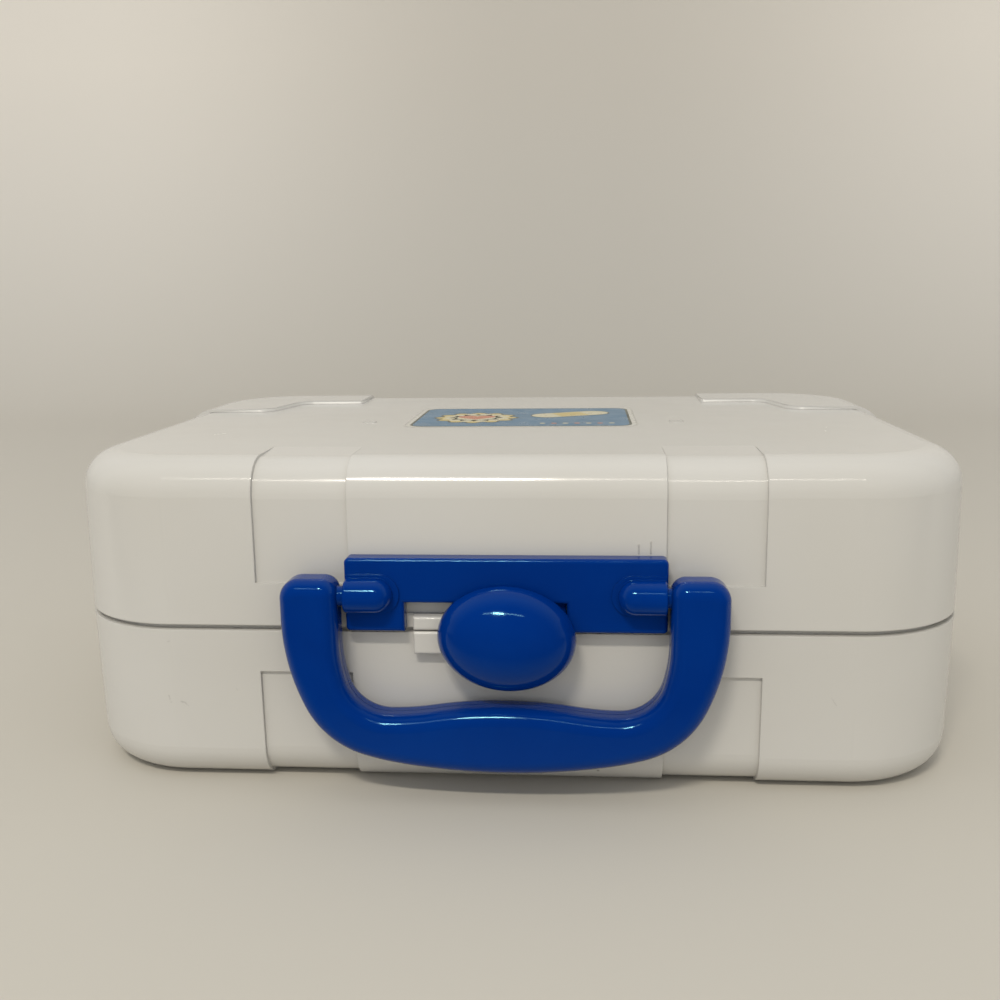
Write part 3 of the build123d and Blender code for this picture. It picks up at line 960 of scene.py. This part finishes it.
def roundedPath(corners, radius, steps=8):
    # a polyline whose inner corners are rounded
    path = [Vector(corners[0])]
    for before, corner, after in zip(corners, corners[1:], corners[2:]):
        corner = Vector(corner)
        inward = (Vector(before) - corner).normalized()
        outward = (Vector(after) - corner).normalized()
        half = inward.angle(outward) / 2
        reach = radius / math.tan(half)
        start, end = corner + inward * reach, corner + outward * reach
        middle = corner + (inward + outward).normalized() * radius / math.sin(half)
        for i in range(steps + 1):
            spot = start.lerp(end, i / steps)
            path.append(middle + (spot - middle).normalized() * radius)
    path.append(Vector(corners[-1]))
    return path


def makePadSteps(values):
    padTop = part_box("lid_shell")[1].z
    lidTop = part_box("lid_label")[0].z
    footZ = lidTop - values["sunk"]
    rootZ = footZ - 0.03 * mm
    corners = [(values["innerX"], values["backY"]), (values["innerX"], values["innerY"]),
               values["bendIn"], values["bendOut"], (values["endX"], values["bendOut"][1])]
    square = roundedPath(corners[:3], 0.6 * mm, 3)[:-1]
    path = square + roundedPath(corners[1:], values["bendRadius"])[1:]
    length = sum((b - a).length for a, b in zip(path, path[1:]))
    for side, name in ((1, "right"), (-1, "left")):
        vertices, run = [], 0.0
        for i, spot in enumerate(path):
            before, after = path[max(i - 1, 0)], path[min(i + 1, len(path) - 1)]
            run += (spot - path[i - 1]).length if i else 0.0
            ahead = (after - before).normalized()
            away = Vector((ahead.y, -ahead.x))
            fade = min(1.0, min(run, length - run) / values["fade"] + 0.02)
            foot = spot + away * values["slope"] * fade
            back = spot - away * values["root"]
            crestZ = footZ + (padTop - lidTop) * fade
            vertices += [(side * foot.x, foot.y, footZ), (side * spot.x, spot.y, crestZ),
                         (side * back.x, back.y, rootZ)]
        faces = [tuple(range(3)), tuple(range(len(vertices) - 3, len(vertices)))]
        for i in range(len(path) - 1):
            for a, b in ((0, 1), (1, 2), (2, 0)):
                faces.append((3 * i + a, 3 * i + b, 3 * i + 3 + b, 3 * i + 3 + a))
        step = meshObject(f"pad_step_{name}", vertices, faces, materials["satinWhite"])
        outwards(step)
        smoothed(step, 40.0)
        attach(step, "lid")


makePadSteps(padSteps)
print("parting line, ridges and pad steps made")


# stage, light and camera

stage = {
    "floorColour": (0.566, 0.535, 0.470),
    # painted light: the side colours make the floor and the wall lighter towards the sides, where
    # the room's lights fall
    "floorSidePaintedLight": (0.650, 0.612, 0.540),
    "wallColour": (0.690, 0.645, 0.570),
    "wallSidePaintedLight": (0.930, 0.872, 0.780),
    "size": 3.0,
    "wallY": 1.3,
    "coveRadius": 0.5,
    "worldColour": (0.950, 0.972, 1.0),
    "worldStrength": 0.75,
    "wallTop": 2.5,
    "backdropColour": (0.520, 0.490, 0.430),   # seen past the surround, also in reflections
    "reflectionDimming": 0.94,         # share by which the floor and the room ahead are painted darker where glossy rays see them: painted reflection
    "reflectionDimFloor": (-0.10, -0.19),   # the floor's Y where that starts, and where it is full
    "reflectionDimAhead": (0.05, -0.45),    # the same for the direction past the surround
}

# a compact lamp that draws the highlights, and a long dim batten that draws the streaks
lamps = {
    "ceilingLamp": {
        "colour": (1.0, 0.940, 0.830),
        "power": 7.6,
        "size": (0.30, 0.080),
        "place": (-0.205, -1.055, 1.17),
        "aim": (0.0, -0.09, 0.05),
    },
    "ceilingBatten": {
        "colour": (1.0, 0.940, 0.830),
        "power": 1.9,
        "size": (1.15, 0.04),
        "place": (-0.085, -1.055, 1.17),
        "aim": (0.0, -0.09, 0.05),
    },
}


def dimReflectionsAhead(tree, colour, depth, reach, share):
    # painted reflection: where glossy rays meet the floor in front or look ahead, the colour is
    # painted darker than it is
    glossy = add(tree, "ShaderNodeLightPath").outputs["Is Glossy Ray"]
    dimmedReflectionShare = maths(tree, "MULTIPLY", remap(tree, depth, *reach), glossy)
    return blendColours(tree, maths(tree, "MULTIPLY", dimmedReflectionShare, share), colour, (0.0, 0.0, 0.0))


def makeStage(values):
    half, wallY, radius = values["size"], values["wallY"], values["coveRadius"]
    profile, steps = [(-half, 0.0)], 12
    for i in range(steps + 1):
        angle = math.radians(90 * i / steps)
        profile.append((wallY - radius * (1 - math.sin(angle)), radius * (1 - math.cos(angle))))
    profile.append((wallY, values["wallTop"]))
    vertices = [(x, y, z) for y, z in profile for x in (-half, half)]
    faces = [(2 * i, 2 * i + 1, 2 * i + 3, 2 * i + 2) for i in range(len(profile) - 1)]
    material, tree, shader, place = newMaterial("paleSurround")
    spot = add(tree, "ShaderNodeSeparateXYZ", links={0: place}).outputs
    upward = remap(tree, spot["Z"], 0.0, radius)
    # painted light: the wall and the floor turn lighter towards the sides, where the room's lights
    # fall
    sidePaintedLight = remap(tree, maths(tree, "ABSOLUTE", spot["X"]), 0.05, 0.75, smooth=True)
    wallToneWithPaintedLight = blendColours(tree, sidePaintedLight, values["wallColour"], values["wallSidePaintedLight"])
    floorToneWithPaintedLight = blendColours(tree, sidePaintedLight, values["floorColour"], values["floorSidePaintedLight"])
    colour = blendColours(tree, upward, floorToneWithPaintedLight, wallToneWithPaintedLight)
    # painted reflection: the floor in front is darker only where glossy rays see it
    colour = dimReflectionsAhead(tree, colour, spot["Y"], values["reflectionDimFloor"], values["reflectionDimming"])
    tree.links.new(colour, shader.inputs["Base Color"])
    setInputs(shader, {"Roughness": 0.75, "Specular IOR Level": 0.25})
    surround = meshObject("surround", vertices, faces, material)
    surround.data.shade_smooth()


def makeWorld(values):
    world = bpy.data.worlds.new("room")
    world.use_nodes = True
    bpy.context.scene.world = world
    tree = world.node_tree
    ray = add(tree, "ShaderNodeLightPath").outputs
    seen = maths(tree, "MAXIMUM", ray["Is Camera Ray"], ray["Is Glossy Ray"])
    light = tuple(part * values["worldStrength"] for part in values["worldColour"])
    colour = blendColours(tree, seen, light, values["backdropColour"])
    direction = add(tree, "ShaderNodeNewGeometry").outputs["Position"]
    ahead = add(tree, "ShaderNodeSeparateXYZ", links={0: direction}).outputs["Y"]
    # painted reflection: the sky ahead is darker only where glossy rays see it
    colour = dimReflectionsAhead(tree, colour, ahead, values["reflectionDimAhead"], values["reflectionDimming"])
    tree.links.new(colour, tree.nodes["Background"].inputs["Color"])


def makeLamp(name, values):
    lamp = bpy.data.lights.new(name, "AREA")
    lamp.shape = "RECTANGLE"
    lamp.size, lamp.size_y = values["size"]
    lamp.energy = values["power"]
    lamp.color = values["colour"]
    holder = bpy.data.objects.new(name, lamp)
    holder.location = values["place"]
    aim = Vector(values["aim"]) - Vector(values["place"])
    holder.rotation_euler = aim.to_track_quat("-Z", "Y").to_euler()
    bpy.context.scene.collection.objects.link(holder)


photoCamera = {
    "place": (0.02232, -0.39804, 0.15116),
    "yaw": 4.47,              # degrees, as the next two
    "pitch": 11.29,           # downwards
    "roll": -0.79,
    "focalPixels": 1066.1,
    "imagePixels": 1000.0,
}


def makeCamera(values):
    yaw, pitch, roll = (math.radians(values[key]) for key in ("yaw", "pitch", "roll"))
    right = Vector((math.cos(yaw), math.sin(yaw), 0.0))
    level = Vector((-math.sin(yaw), math.cos(yaw), 0.0))
    ahead = level * math.cos(pitch) - Vector((0.0, 0.0, math.sin(pitch)))
    up = right.cross(ahead)
    tiltedRight = right * math.cos(roll) + up * math.sin(roll)
    tiltedUp = up * math.cos(roll) - right * math.sin(roll)
    data = bpy.data.cameras.new("photoCamera")
    data.sensor_width = 36.0
    data.lens = values["focalPixels"] / values["imagePixels"] * data.sensor_width
    data.clip_start = 0.01
    camera = bpy.data.objects.new("photoCamera", data)
    turn = Matrix((tiltedRight, tiltedUp, -ahead)).transposed().to_4x4()
    camera.matrix_world = Matrix.Translation(values["place"]) @ turn
    bpy.context.scene.collection.objects.link(camera)
    bpy.context.scene.camera = camera


makeStage(stage)
makeWorld(stage)
for lampName, lampValues in lamps.items():
    makeLamp(lampName, lampValues)
makeCamera(photoCamera)
bpy.context.scene.view_settings.view_transform = "Standard"
print("stage, light and camera made")
